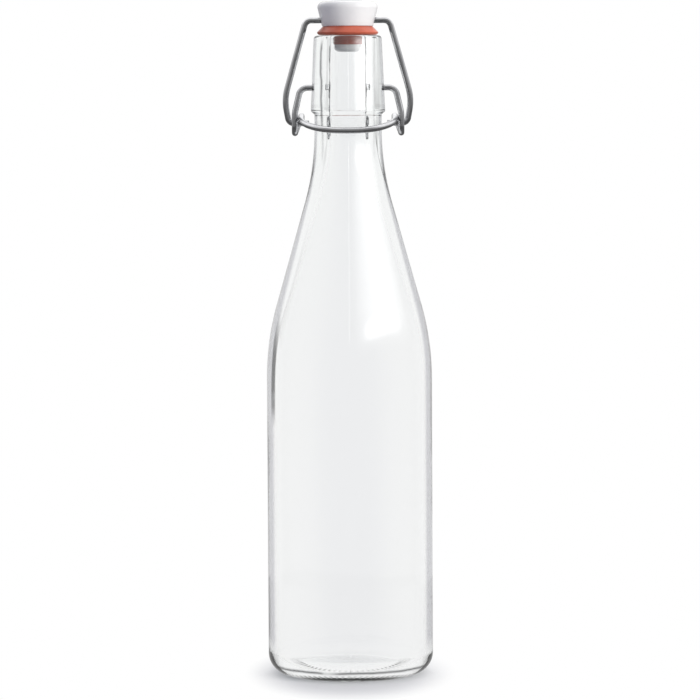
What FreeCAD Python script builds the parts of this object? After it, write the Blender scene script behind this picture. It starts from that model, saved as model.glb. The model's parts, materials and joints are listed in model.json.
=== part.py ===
import FreeCAD, Part
import math
import os
import re
import Sketcher

# Swing top bottle: a clear glass bottle with a thick collar, a glazed stopper with a rubber
# gasket, and two bent steel wires. The lever wire turns in two blind dimples in the collar and
# carries an eye on each side; the bail wire hooks into the eyes and passes through the stopper.
# Millimetres, +Z up, origin at the middle of the base, the lever's pull ring towards -Y.

SIZES = [
    # Glass outside
    ("body_diameter", 70.0, "straight body, outside"),
    ("glass_height", 270.5, "base to the rim of the mouth"),
    ("heel_radius", 8.6, "round from the body into the base"),
    ("bearing_width", 3.8, "flat ring that the bottle stands on"),
    ("push_up", 3.2, "rise of the hollow under the base"),
    ("shoulder_angle", 15.8, "slope of the shoulder from upright, degrees"),
    ("shoulder_radius", 114.0, "round from the body into the shoulder"),
    ("sweep_radius", 113.0, "hollow round from the shoulder into the neck"),
    ("neck_diameter", 28.4, "neck below the collar"),
    ("neck_length", 6.4, "straight neck below the collar"),
    # Collar and mouth
    ("collar_height", 31.9, "rim down to the collar's lower edge"),
    ("collar_low_diameter", 31.4, "collar at its lower edge"),
    ("collar_top_diameter", 28.6, "collar at the rim"),
    ("collar_ledge", 1.3, "height of the slope under the collar"),
    ("rim_round", 1.4, "outer edge of the rim"),
    ("lip_round", 1.6, "inner edge of the mouth"),
    ("mouth_bore", 14.0, "bore at the mouth"),
    ("neck_bore", 15.1, "bore in the neck"),
    ("neck_bore_length", 4.3, "straight bore below the collar"),
    # Glass inside
    ("wall", 3.2, "body wall"),
    ("floor_thickness", 3.9, "glass over the push up"),
    ("inner_heel", 6.5, "round inside the base"),
    ("inner_angle", 17.5, "slope of the shoulder's inside from upright, degrees"),
    # Lever wire
    ("lever_wire", 2.6, "lever wire diameter"),
    ("pivot_drop", 21.8, "rim down to the lever's pivot"),
    ("dimple_depth", 3.7, "depth of the pivot dimples"),
    ("dimple_end_gap", 0.3, "wire end to the dimple's floor"),
    ("pivot_clearance", 0.08, "round the wire in its dimple"),
    ("elbow_offset", 4.7, "collar surface out to the lever's elbow"),
    ("elbow_radius", 3.7, "bend at the elbow"),
    ("leg_offset", 7.2, "collar surface out to the lever's leg"),
    ("leg_slope_height", 10.7, "fall of the slanting part of the leg"),
    ("leg_bend", 10.8, "bend where the leg turns upright"),
    ("eye_drop", 19.1, "pivot down to the bottom of the eye"),
    ("eye_length", 6.0, "front strand to back strand of the eye"),
    ("eye_flat", 0.2, "straight run at the bottom of the eye"),
    ("eye_top_bend", 2.6, "bend at the top of the eye"),
    ("strand_gap", 0.2, "between the ring and the leg where they cross"),
    ("ring_offset", 6.85, "collar surface out to the front of the ring"),
    ("ring_flat", 1.3, "straight run at the front of the ring"),
    ("ring_tilt", 14.4, "fall of the ring towards its front, degrees"),
    # Bail wire
    ("bail_wire", 2.5, "bail wire diameter"),
    ("hook_drop", 15.0, "pivot down to the hook in the eye"),
    ("over_centre", 0.65, "hook behind the pivot when locked"),
    ("hook_play", 0.25, "hook to the strands of the eye"),
    ("hook_end_gap", 0.8, "collar to the end of the hook"),
    ("swing_gap", 0.45, "lever leg to bail leg as they pass"),
    ("hook_radius", 2.6, "bend into the hook"),
    ("bulge", 1.9, "how far the bail's waist stands out from the hook"),
    ("bulge_rise", 10.1, "hook up to the bail's waist"),
    ("bulge_radius", 21.5, "bend at the waist"),
    ("cross_offset", 4.9, "stopper's side out to the bail's upper corner"),
    ("cross_radius", 3.0, "bend at the upper corner"),
    # Stopper and gasket
    ("seat_gap", 0.25, "gasket to the rim"),
    ("gasket_height", 3.65, "gasket above its seat"),
    ("gasket_diameter", 26.1, "widest part of the gasket"),
    ("gasket_top_diameter", 20.9, "gasket under the stopper"),
    ("gasket_seat_diameter", 24.3, "gasket's flat underside"),
    ("gasket_edge_height", 1.0, "underside up to the widest part"),
    ("sleeve_clearance", 0.275, "gasket's sleeve to the mouth, under its flange"),
    ("sleeve_length", 4.2, "sleeve below the flange"),
    ("sleeve_taper", 8.0, "sleeve's taper from upright, degrees"),
    ("stem_diameter", 8.6, "stopper's stem in the gasket"),
    ("stem_fit", 0.03, "round the stem in the gasket"),
    ("tip_clearance", 1.3, "stopper's tip to the mouth"),
    ("tip_length", 3.1, "tip below the gasket"),
    ("tip_round", 2.15, "tip's lower edge"),
    ("head_height", 11.0, "stopper's head above the gasket"),
    ("head_diameter", 25.4, "widest part of the head"),
    ("head_low_diameter", 21.9, "head where it meets the gasket"),
    ("head_low_round", 0.5, "lower edge of the head"),
    ("head_top_round", 2.6, "upper edge of the head"),
    ("crown", 0.55, "rise of the head's top"),
    ("cross_rise", 2.55, "gasket up to the cross hole"),
    ("cross_clearance", 0.08, "round the bail in the stopper"),
]

doc = FreeCAD.newDocument("SwingTopBottle")
sheet = doc.addObject("Spreadsheet::Sheet", "Sizes")
for row, (alias, value, note) in enumerate(SIZES, start=1):
    sheet.set(f"A{row}", note)
    sheet.set(f"B{row}", str(value))
    sheet.setAlias(f"B{row}", alias)
doc.recompute()


def in_sheet(formula):
    """Give a formula on the sheet's names as a document expression."""
    names = {alias for alias, value, note in SIZES}

    def full_name(word):
        return "Sizes." + word.group() if word.group() in names else word.group()

    return re.sub("[a-z_]+", full_name, formula)


def size(formula):
    """Work out a formula on the sheet's names."""
    return float(sheet.evalExpression(in_sheet(formula)))


# Places that several pieces share, as formulas on the sheet's names
COLLAR_LOW = "(glass_height - collar_height)"
LEDGE_LOW = f"({COLLAR_LOW} - collar_ledge)"
SWEEP_TOP = f"({LEDGE_LOW} - neck_length)"
PIVOT = "(glass_height - pivot_drop)"
COLLAR_TAPER = "((collar_low_diameter - collar_top_diameter) / (2 * collar_height))"
COLLAR_AT_PIVOT = f"(collar_top_diameter / 2 + {COLLAR_TAPER} * pivot_drop)"
DIMPLE_FLOOR = f"({COLLAR_AT_PIVOT} - dimple_depth)"
HOOK = f"({PIVOT} - hook_drop)"
SEAT = "(glass_height + seat_gap)"
HEAD_LOW = f"({SEAT} + gasket_height)"
HEAD_TOP = f"({HEAD_LOW} + head_height)"
SLEEVE_LOW = f"({SEAT} - sleeve_length)"
TIP_LOW = f"({SLEEVE_LOW} - tip_length)"
CROSS = f"({HEAD_LOW} + cross_rise)"


def origin_item(body, role):
    """Find an axis or plane of a body's own origin."""
    return next(item for item in body.Origin.OriginFeatures if item.Role == role)


class Outline:
    """A closed outline in a body's XZ plane whose corners are placed by formulas."""

    def __init__(self, body, name, x, z):
        self.sketch = body.newObject("Sketcher::SketchObject", name)
        self.sketch.AttachmentSupport = [(origin_item(body, "XZ_Plane"), "")]
        self.sketch.MapMode = "FlatFace"
        self.corners = [(x, z)]
        self.edges = []

    def line(self, x, z):
        """Run straight to a corner."""
        self.corners.append((x, z))
        self.edges.append(None)

    def arc(self, x, z, radius, side):
        """Run round to a corner, with the centre on the left (side 1) or the right (side -1)."""
        self.corners.append((x, z))
        self.edges.append((radius, side))

    def close(self):
        """Run straight back to the first corner, then draw and constrain the sketch."""
        self.edges.append(None)
        points = [FreeCAD.Vector(size(x), size(z), 0) for x, z in self.corners]
        count = len(points)
        for index, edge in enumerate(self.edges):
            start = points[index]
            end = points[(index + 1) % count]
            self.sketch.addGeometry(self.curve(start, end, edge))
        reversed_arc = [edge is not None and edge[1] < 0 for edge in self.edges]
        heads = [2 if turned else 1 for turned in reversed_arc]
        tails = [1 if turned else 2 for turned in reversed_arc]
        for index in range(count):
            following = (index + 1) % count
            self.constrain("Coincident", index, tails[index], following, heads[following])
        for index, (x, z) in enumerate(self.corners):
            self.place("DistanceX", index, heads[index], x, -2)
            self.place("DistanceY", index, heads[index], z, -1)
        for index, edge in enumerate(self.edges):
            if edge is not None:
                self.bind(self.constrain("Radius", index, size(edge[0])), edge[0])
        doc.recompute()
        return self.sketch

    def curve(self, start, end, edge):
        """Make one edge's geometry. An arc runs anticlockwise, whichever end it starts from."""
        if edge is None:
            return Part.LineSegment(start, end)
        radius, side = size(edge[0]), edge[1]
        chord = end - start
        across = FreeCAD.Vector(-chord.y, chord.x, 0).normalize() * side
        rise = math.sqrt(radius ** 2 - (chord.Length / 2) ** 2)
        middle = (start + end) * 0.5
        return Part.Arc(start, middle - across * (radius - rise), end)

    def constrain(self, *terms):
        """Add one constraint and give its number."""
        return self.sketch.addConstraint(Sketcher.Constraint(*terms))

    def bind(self, number, formula):
        """Tie a constraint to the sheet."""
        self.sketch.setExpression(f"Constraints[{number}]", in_sheet(formula))

    def place(self, kind, index, end, formula, axis):
        """Hold a corner on an axis of the sketch, or at a bound distance from it."""
        if formula == "0":
            self.constrain("PointOnObject", index, end, axis)
        else:
            self.bind(self.constrain(kind, -1, 1, index, end, size(formula)), formula)


def turned_body(name):
    """Start a body for a piece turned about the bottle's axis."""
    body = doc.addObject("PartDesign::Body", name)
    body.Label = name
    return body


def turn(body, sketch):
    """Turn an outline about the bottle's axis."""
    solid = body.newObject("PartDesign::Revolution", sketch.Name + "_turned")
    solid.Profile = sketch
    solid.ReferenceAxis = (origin_item(body, "Z_Axis"), [""])
    solid.Angle = 360
    doc.recompute()
    return solid


def cross_sketch(body, name, height, diameter, offset=None):
    """Draw a circle round a level line along X, on the body's YZ plane or moved out from it."""
    sketch = body.newObject("Sketcher::SketchObject", name)
    sketch.AttachmentSupport = [(origin_item(body, "YZ_Plane"), "")]
    sketch.MapMode = "FlatFace"
    if offset is not None:
        sketch.setExpression("AttachmentOffset.Base.z", in_sheet(offset))
    middle = FreeCAD.Vector(0, size(height), 0)
    sketch.addGeometry(Part.Circle(middle, FreeCAD.Vector(0, 0, 1), size(diameter) / 2))
    sketch.addConstraint(Sketcher.Constraint("PointOnObject", 0, 3, -2))
    for terms, formula in (
        (("DistanceY", -1, 1, 0, 3, size(height)), height),
        (("Diameter", 0, size(diameter)), diameter),
    ):
        number = sketch.addConstraint(Sketcher.Constraint(*terms))
        sketch.setExpression(f"Constraints[{number}]", in_sheet(formula))
    doc.recompute()
    return sketch


def glass_bottle():
    """Turn the glass, hollow and all, and sink the two pivot dimples in its collar."""
    body = turned_body("glass_bottle")
    round_over = "(1 - cos(shoulder_angle))"
    cone_low_x = f"(body_diameter / 2 - shoulder_radius * {round_over})"
    cone_top_x = f"(neck_diameter / 2 + sweep_radius * {round_over})"
    cone_top = f"({SWEEP_TOP} - sweep_radius * sin(shoulder_angle))"
    cone_low = f"({cone_top} - ({cone_low_x} - {cone_top_x}) / tan(shoulder_angle))"
    body_top = f"({cone_low} - shoulder_radius * sin(shoulder_angle))"
    bearing = "(body_diameter / 2 - heel_radius)"
    push_edge = f"({bearing} - bearing_width)"
    rim_edge = f"(collar_top_diameter / 2 + {COLLAR_TAPER} * rim_round)"
    push_radius = f"(({push_edge} * {push_edge} + push_up * push_up) / (2 * push_up))"

    inside = "(body_diameter / 2 - wall)"
    inner_round = "(1 - cos(inner_angle))"
    inner_shoulder = "(shoulder_radius - wall)"
    bore_low = f"({COLLAR_LOW} - neck_bore_length)"
    inner_cone_low_x = f"({inside} - {inner_shoulder} * {inner_round})"
    inner_cone_top_x = f"(neck_bore / 2 + sweep_radius * {inner_round})"
    inner_cone_top = f"({bore_low} - sweep_radius * sin(inner_angle))"
    inner_cone_run = f"(({inner_cone_low_x} - {inner_cone_top_x}) / tan(inner_angle))"
    inner_cone_low = f"({inner_cone_top} - {inner_cone_run})"
    inner_top = f"({inner_cone_low} - {inner_shoulder} * sin(inner_angle))"
    floor = "(push_up + floor_thickness)"
    floor_edge = f"({inside} - inner_heel)"
    floor_radius = f"({push_radius} + floor_thickness)"
    floor_drop = f"sqrt({floor_radius} * {floor_radius} - {floor_edge} * {floor_edge})"
    floor_rim = f"({floor} - {floor_radius} + {floor_drop})"

    outline = Outline(body, "glass_outline", "0", "push_up")
    outline.arc(push_edge, "0", push_radius, -1)
    outline.line(bearing, "0")
    outline.arc("body_diameter / 2", "heel_radius", "heel_radius", 1)
    outline.line("body_diameter / 2", body_top)
    outline.arc(cone_low_x, cone_low, "shoulder_radius", 1)
    outline.line(cone_top_x, cone_top)
    outline.arc("neck_diameter / 2", SWEEP_TOP, "sweep_radius", -1)
    outline.line("neck_diameter / 2", LEDGE_LOW)
    outline.line("collar_low_diameter / 2", COLLAR_LOW)
    outline.line(rim_edge, "glass_height - rim_round")
    outline.arc(f"{rim_edge} - rim_round", "glass_height", "rim_round", 1)
    outline.line("mouth_bore / 2 + lip_round", "glass_height")
    outline.arc("mouth_bore / 2", "glass_height - lip_round", "lip_round", 1)
    outline.line("neck_bore / 2", COLLAR_LOW)
    outline.line("neck_bore / 2", bore_low)
    outline.arc(inner_cone_top_x, inner_cone_top, "sweep_radius", 1)
    outline.line(inner_cone_low_x, inner_cone_low)
    outline.arc(inside, inner_top, inner_shoulder, -1)
    outline.line(inside, f"{floor_rim} + inner_heel")
    outline.arc(floor_edge, floor_rim, "inner_heel", -1)
    outline.arc("0", floor, floor_radius, 1)
    turn(body, outline.close())

    dimple_diameter = "(lever_wire + 2 * pivot_clearance)"
    circle = cross_sketch(body, "dimple_circle", PIVOT, dimple_diameter, DIMPLE_FLOOR)
    dimple = body.newObject("PartDesign::Pocket", "dimple")
    dimple.Profile = circle
    dimple.Type = "ThroughAll"
    dimple.Reversed = True
    doc.recompute()
    pair = body.newObject("PartDesign::Mirrored", "dimple_pair")
    pair.Originals = [dimple]
    pair.MirrorPlane = (origin_item(body, "YZ_Plane"), [""])
    body.Tip = pair
    doc.recompute()
    return body


def stopper():
    """Turn the stopper's head, stem and tip, and bore its cross hole for the bail."""
    body = turned_body("stopper")
    head = "head_diameter / 2"
    crown_edge = "(head_diameter / 2 - head_top_round)"
    crown_radius = f"(({crown_edge} * {crown_edge} + crown * crown) / (2 * crown))"
    shoulder = f"({HEAD_TOP} - crown)"
    tip = "(mouth_bore / 2 - tip_clearance)"

    outline = Outline(body, "stopper_outline", "0", TIP_LOW)
    outline.line(f"{tip} - tip_round", TIP_LOW)
    outline.arc(tip, f"{TIP_LOW} + tip_round", "tip_round", 1)
    outline.line(tip, SLEEVE_LOW)
    outline.line("stem_diameter / 2", SLEEVE_LOW)
    outline.line("stem_diameter / 2", HEAD_LOW)
    outline.line("head_low_diameter / 2 - head_low_round", HEAD_LOW)
    outline.arc("head_low_diameter / 2", f"{HEAD_LOW} + head_low_round", "head_low_round", 1)
    outline.line(head, f"{shoulder} - head_top_round")
    outline.arc(crown_edge, shoulder, "head_top_round", 1)
    outline.arc("0", HEAD_TOP, crown_radius, 1)
    turn(body, outline.close())

    circle = cross_sketch(body, "cross_circle", CROSS, "(bail_wire + 2 * cross_clearance)")
    hole = body.newObject("PartDesign::Pocket", "cross_hole")
    hole.Profile = circle
    hole.Type = "ThroughAll"
    hole.Midplane = True
    doc.recompute()
    return body


def gasket():
    """Turn the rubber gasket: a bevelled flange on the rim and a tapered sleeve in the mouth."""
    body = turned_body("gasket")
    bore = "(stem_diameter / 2 + stem_fit)"
    sleeve = "(mouth_bore / 2 - sleeve_clearance)"
    sleeve_foot = f"({sleeve} - sleeve_length * tan(sleeve_taper))"
    outline = Outline(body, "gasket_outline", bore, SLEEVE_LOW)
    outline.line(sleeve_foot, SLEEVE_LOW)
    outline.line(sleeve, SEAT)
    outline.line("gasket_seat_diameter / 2", SEAT)
    outline.line("gasket_diameter / 2", f"{SEAT} + gasket_edge_height")
    outline.line("gasket_top_diameter / 2", HEAD_LOW)
    outline.line(bore, HEAD_LOW)
    turn(body, outline.close())
    return body


def bent_wire(bends):
    """Join corner points by straight runs, with an arc of the given radius at each corner."""
    points = [FreeCAD.Vector(*point) for point, radius in bends]
    radii = [radius for point, radius in bends]
    edges = []
    here = points[0]
    for before, corner, after, radius in zip(points, points[1:], points[2:], radii[1:]):
        back = (before - corner).normalize()
        ahead = (after - corner).normalize()
        half_turn = (math.pi - back.getAngle(ahead)) / 2
        reach = radius * math.tan(half_turn)
        start = corner + back * reach
        end = corner + ahead * reach
        inward = (back + ahead).normalize()
        middle = corner + inward * (radius / math.cos(half_turn) - radius)
        edges.append(Part.LineSegment(here, start).toShape())
        edges.append(Part.Arc(start, middle, end).toShape())
        here = end
    edges.append(Part.LineSegment(here, points[-1]).toShape())
    return Part.Wire(edges)


def mirrored(half):
    """Complete a list of bends, given from the right end to the middle, on the left side."""
    return half + [((-x, y, z), radius) for (x, y, z), radius in reversed(half)]


def wire_piece(name, bends, diameter):
    """Sweep a round wire along its bends."""
    path = doc.addObject("Part::Feature", name + "_path")
    path.Shape = bent_wire(bends)
    section = doc.addObject("Part::Circle", name + "_section")
    section.setExpression("Radius", in_sheet(f"{diameter} / 2"))
    start = FreeCAD.Vector(*bends[0][0])
    run = FreeCAD.Vector(*bends[1][0]) - start
    section.Placement = FreeCAD.Placement(start, FreeCAD.Rotation(FreeCAD.Vector(0, 0, 1), run))
    sweep = doc.addObject("Part::Sweep", name)
    sweep.Label = name
    sweep.Sections = [section]
    sweep.Spine = (path, [f"Edge{number}" for number in range(1, len(path.Shape.Edges) + 1)])
    sweep.Solid = True
    sweep.Frenet = False
    doc.recompute()
    return sweep


def lever_wire():
    """Bend the lever: pivot ends, slanting legs, an eye on each side and the pull ring."""
    collar = size(COLLAR_AT_PIVOT)
    pivot = size(PIVOT)
    pin_end = size(f"{DIMPLE_FLOOR} + dimple_end_gap")
    elbow = collar + size("elbow_offset")
    leg = collar + size("leg_offset")
    leg_low = pivot - size("leg_slope_height")
    eye_low = pivot - size("eye_drop")
    eye_bend = size("(eye_length - eye_flat) / 2")
    hook = size("over_centre")
    front = hook - size("hook_play + (lever_wire + bail_wire) / 2")
    back = front + size("eye_length")
    ring_half = leg - size("lever_wire + strand_gap")
    ring_bend = ring_half - size("ring_flat / 2")
    ring_front = -collar - size("ring_offset")
    ring_slope = math.tan(math.radians(size("ring_tilt")))
    over_hook = size(f"{HOOK} + ((lever_wire + bail_wire) / 2 + hook_play) / cos(ring_tilt)")
    eye_top = over_hook + ring_slope * (back - hook)
    ring_low = over_hook + ring_slope * (ring_front - hook)
    half = [
        ((pin_end, 0, pivot), 0),
        ((elbow, 0, pivot), size("elbow_radius")),
        ((leg, front, leg_low), size("leg_bend")),
        ((leg, front, eye_low), eye_bend),
        ((leg, back, eye_low), eye_bend),
        ((ring_half, back, eye_top), size("eye_top_bend")),
        ((ring_half, ring_front, ring_low), ring_bend),
    ]
    return wire_piece("lever_wire", mirrored(half), "lever_wire")


def bail_wire():
    """Bend the bail: hooks through the lever's eyes, bowed legs and the run through the stopper."""
    hook = size(HOOK)
    cross = size(CROSS)
    behind = size("over_centre")
    waist = hook + size("bulge_rise")
    waist_behind = behind * (cross - waist) / (cross - hook)
    hook_end = size("collar_low_diameter / 2 + hook_end_gap")
    beside_lever = size(f"{COLLAR_AT_PIVOT} + leg_offset + (lever_wire + bail_wire) / 2 + swing_gap")
    hook_corner = beside_lever - size("hook_radius * bulge / bulge_rise")
    cross_corner = size("head_diameter / 2 + cross_offset")
    half = [
        ((hook_end, behind, hook), 0),
        ((hook_corner, behind, hook), size("hook_radius")),
        ((hook_corner + size("bulge"), waist_behind, waist), size("bulge_radius")),
        ((cross_corner, 0, cross), size("cross_radius")),
    ]
    return wire_piece("bail_wire", mirrored(half), "bail_wire")


pieces = [glass_bottle(), stopper(), gasket(), lever_wire(), bail_wire()]
doc.recompute()
for item in doc.Objects:
    if {"Invalid", "Error"} & set(item.State):
        raise RuntimeError(f"{item.Label} did not build: {item.State}")
for piece in pieces:
    if piece.Shape.isNull() or not piece.Shape.isValid() or len(piece.Shape.Solids) != 1:
        raise RuntimeError(f"{piece.Label} is not one valid solid")
os.makedirs("parts", exist_ok=True)
for piece in pieces:
    piece.Shape.exportStep(f"parts/{piece.Label}.step")
    print(f"{piece.Label}: {piece.Shape.Volume:.1f} mm3")
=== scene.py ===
import json
import logging
import math
from dataclasses import dataclass, field
from enum import Enum
from typing import Any, Optional, Union

import bmesh
import bpy
from bmesh.types import BMEdge, BMesh, BMVert
from mathutils import Matrix, Vector, noise


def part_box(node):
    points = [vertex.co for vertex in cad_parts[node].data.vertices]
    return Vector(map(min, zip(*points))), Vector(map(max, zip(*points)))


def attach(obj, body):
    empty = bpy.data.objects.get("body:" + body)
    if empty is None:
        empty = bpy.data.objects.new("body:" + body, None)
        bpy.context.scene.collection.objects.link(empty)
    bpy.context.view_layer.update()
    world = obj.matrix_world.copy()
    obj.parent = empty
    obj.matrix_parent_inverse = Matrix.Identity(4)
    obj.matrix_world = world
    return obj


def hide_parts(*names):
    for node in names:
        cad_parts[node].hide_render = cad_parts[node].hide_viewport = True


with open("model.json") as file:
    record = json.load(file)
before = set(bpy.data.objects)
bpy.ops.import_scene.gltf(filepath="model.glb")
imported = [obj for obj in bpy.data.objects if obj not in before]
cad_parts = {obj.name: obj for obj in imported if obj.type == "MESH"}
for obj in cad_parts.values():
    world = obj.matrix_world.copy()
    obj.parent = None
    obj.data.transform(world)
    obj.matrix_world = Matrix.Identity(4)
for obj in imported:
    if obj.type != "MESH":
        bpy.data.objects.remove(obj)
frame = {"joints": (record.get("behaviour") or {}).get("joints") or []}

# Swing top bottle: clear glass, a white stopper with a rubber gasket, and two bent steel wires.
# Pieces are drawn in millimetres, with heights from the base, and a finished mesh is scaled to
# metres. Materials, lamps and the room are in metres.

MM = 0.001
UPRIGHT = Vector((0.0, 0.0, 1.0))
NO_SHIFT = Vector((0.0, 0.0, 0.0))
CLOSE_VERTICES = 0.002

log = logging.getLogger("swing_top_bottle")

Number = Union[float, "Value"]
Colour = Union[tuple, bpy.types.NodeSocket]


class Body(Enum):
    """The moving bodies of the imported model."""

    BOTTLE = "bottle"
    LEVER = "lever"
    BAIL = "bail"
    CLOSURE = "closure"


class Slot(Enum):
    """The record's material slots."""

    GLASS = "clear_glass"
    GLAZE = "white_glaze"
    RUBBER = "orange_rubber"
    STEEL = "steel_wire"


class Sight(Enum):
    """How a studio card shows in the glass. The value is the most bounces of a ray that shows it.

    A ray that turns inside the wall bounces up to three times, and one that passes straight through
    the bottle four times.
    """

    THROUGH = 3
    MIRRORED = 1


class Side(Enum):
    """Which side of a drawn arc its centre lies on, seen along the run."""

    LEFT = 1
    RIGHT = -1


@dataclass(frozen=True)
class Places:
    """Heights that the pieces share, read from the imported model's joints."""

    pivot: float
    hook: float
    hook_behind: float
    cross: float

    @classmethod
    def from_frame(cls) -> "Places":
        """Read the places of the three joints.

        Returns:
            The places, in millimetres.
        """
        spots = {joint["name"]: Vector(joint["pos_m"]) / MM for joint in frame["joints"]}
        return cls(
            pivot=spots["lever_swing"].z,
            hook=spots["bail_swing"].z,
            hook_behind=spots["bail_swing"].y,
            cross=spots["stopper_tilt"].z,
        )


@dataclass(frozen=True)
class NodeBox:
    """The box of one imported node, in millimetres."""

    low: Vector
    high: Vector

    @classmethod
    def of(cls, node: str) -> "NodeBox":
        """Read a node's box.

        Args:
            node: The node's name.

        Returns:
            The box.
        """
        low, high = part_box(node)
        return cls(low / MM, high / MM)


class Value:
    """A shader socket that takes part in Python arithmetic."""

    def __init__(self, bench: "NodeBench", socket: bpy.types.NodeSocket) -> None:
        """Wrap a socket."""
        self.bench = bench
        self.socket = socket

    def _math(self, operation: str, *terms: Number) -> "Value":
        """Add one Math node.

        Args:
            operation: The node's operation.
            terms: Its inputs, in order.

        Returns:
            The node's result.
        """
        settings = {"operation": operation}
        node = self.bench.node("ShaderNodeMath", settings, dict(enumerate(terms)))
        return Value(self.bench, node.outputs[0])

    def __add__(self, other: Number) -> "Value":
        """Add."""
        return self._math("ADD", self, other)

    def __radd__(self, other: float) -> "Value":
        """Add to a number."""
        return self._math("ADD", other, self)

    def __sub__(self, other: Number) -> "Value":
        """Subtract."""
        return self._math("SUBTRACT", self, other)

    def __rsub__(self, other: float) -> "Value":
        """Subtract from a number."""
        return self._math("SUBTRACT", other, self)

    def __mul__(self, other: Number) -> "Value":
        """Multiply."""
        return self._math("MULTIPLY", self, other)

    def __rmul__(self, other: float) -> "Value":
        """Multiply a number."""
        return self._math("MULTIPLY", other, self)

    def __truediv__(self, other: Number) -> "Value":
        """Divide."""
        return self._math("DIVIDE", self, other)

    def absolute(self) -> "Value":
        """Drop the sign."""
        return self._math("ABSOLUTE", self)

    def sine(self) -> "Value":
        """Take the sine."""
        return self._math("SINE", self)

    def cosine(self) -> "Value":
        """Take the cosine."""
        return self._math("COSINE", self)

    def angle_from(self, other: "Value") -> "Value":
        """Give the angle of the point (other, self) round the origin."""
        return self._math("ARCTAN2", self, other)

    def arcsine(self) -> "Value":
        """Give the angle of a sine."""
        return self._math("ARCSINE", self)

    def root(self) -> "Value":
        """Take the square root."""
        return self._math("SQRT", self)

    def at_least(self, other: Number) -> "Value":
        """Keep the larger."""
        return self._math("MAXIMUM", self, other)

    def rise(self, low: float, high: float) -> "Value":
        """Rise smoothly from 0 to 1, or fall where high is below low.

        Args:
            low: Where the result is 0.
            high: Where the result is 1.

        Returns:
            The eased share.
        """
        node = self.bench.node(
            "ShaderNodeMapRange",
            {"interpolation_type": "SMOOTHSTEP"},
            {"Value": self, "From Min": low, "From Max": high},
        )
        return Value(self.bench, node.outputs["Result"])


class NodeBench:
    """The nodes of one material or world."""

    COLOUR_A = 6
    COLOUR_B = 7
    MIXED_COLOUR = 2

    def __init__(self, owner: Union[bpy.types.Material, bpy.types.World]) -> None:
        """Clear the nodes.

        Args:
            owner: The material or world that they belong to.
        """
        owner.use_nodes = True
        self.tree = owner.node_tree
        self.tree.nodes.clear()

    def node(
        self,
        kind: str,
        settings: Optional[dict[str, Any]] = None,
        inputs: Optional[dict[Union[str, int], Any]] = None,
    ) -> bpy.types.Node:
        """Add a node.

        Args:
            kind: The node's type.
            settings: Properties of the node, which are set first.
            inputs: A value, colour or link for each socket.

        Returns:
            The node.
        """
        made = self.tree.nodes.new(kind)
        for name, setting in (settings or {}).items():
            setattr(made, name, setting)
        for key, given in (inputs or {}).items():
            if isinstance(given, Value):
                self.tree.links.new(given.socket, made.inputs[key])
            elif isinstance(given, bpy.types.NodeSocket):
                self.tree.links.new(given, made.inputs[key])
            else:
                made.inputs[key].default_value = given
        return made

    def value(self, node: bpy.types.Node, output: Union[str, int] = 0) -> Value:
        """Wrap one output of a node."""
        return Value(self, node.outputs[output])

    def place(self) -> bpy.types.NodeSocket:
        """Give the Object coordinates, in metres in the part's own frame."""
        return self.node("ShaderNodeTexCoord").outputs["Object"]

    def axes(self, vector: bpy.types.NodeSocket) -> tuple[Value, Value, Value]:
        """Split a vector.

        Args:
            vector: The vector.

        Returns:
            Its three components.
        """
        split = self.node("ShaderNodeSeparateXYZ", None, {0: vector})
        return self.value(split, 0), self.value(split, 1), self.value(split, 2)

    def from_axis(self, place: bpy.types.NodeSocket) -> Value:
        """Give a place's distance from the upright axis."""
        across, along, _ = self.axes(place)
        return (across * across + along * along).root()

    def attribute(self, name: str) -> Value:
        """Read a number that the mesh holds for each vertex."""
        return self.value(self.node("ShaderNodeAttribute", {"attribute_name": name}), "Fac")

    def vector(self, x: Number, y: Number, z: Number) -> bpy.types.NodeSocket:
        """Join three numbers into a vector."""
        return self.node("ShaderNodeCombineXYZ", None, {0: x, 1: y, 2: z}).outputs[0]

    def grain(self, where: bpy.types.NodeSocket, scale: float, detail: float = 3.0) -> Value:
        """Make a soft noise.

        Args:
            where: The coordinates that it follows.
            scale: Its fineness.
            detail: How many finer layers it has.

        Returns:
            The noise, round 0.5.
        """
        inputs = {"Vector": where, "Scale": scale, "Detail": detail, "Roughness": 0.55}
        return self.value(self.node("ShaderNodeTexNoise", None, inputs))

    def blend(self, share: Value, first: Colour, second: Colour) -> bpy.types.NodeSocket:
        """Mix two colours.

        Args:
            share: How much of the second colour shows.
            first: The colour, or the link to one, at 0.
            second: The colour, or the link to one, at 1.

        Returns:
            The mixed colour.
        """
        inputs = {"Factor": share, self.COLOUR_A: first, self.COLOUR_B: second}
        mixer = self.node("ShaderNodeMix", {"data_type": "RGBA"}, inputs)
        return mixer.outputs[self.MIXED_COLOUR]

    def glow(self, strength: Number) -> bpy.types.NodeSocket:
        """Make a white light of a strength."""
        inputs = {"Color": colour(1.0, 1.0, 1.0), "Strength": strength}
        return self.node("ShaderNodeEmission", None, inputs).outputs[0]

    def bump(self, height: Value, depth: float) -> bpy.types.NodeSocket:
        """Turn a height into a normal.

        Args:
            height: The height, in units of the depth.
            depth: How high 1 stands, in metres.

        Returns:
            The normal.
        """
        inputs = {"Height": height, "Distance": depth, "Strength": 1.0}
        return self.node("ShaderNodeBump", None, inputs).outputs[0]

    def principled(self, inputs: dict[str, Any]) -> bpy.types.NodeSocket:
        """Make a Principled shader from the sockets that are given."""
        return self.node("ShaderNodeBsdfPrincipled", None, inputs).outputs[0]

    def mix(
        self, share: Value, first: bpy.types.NodeSocket, second: bpy.types.NodeSocket
    ) -> bpy.types.NodeSocket:
        """Mix two shaders.

        Args:
            share: How much of the second shader shows.
            first: The shader at 0.
            second: The shader at 1.

        Returns:
            The mixed shader.
        """
        return self.node("ShaderNodeMixShader", None, {0: share, 1: first, 2: second}).outputs[0]


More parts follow.
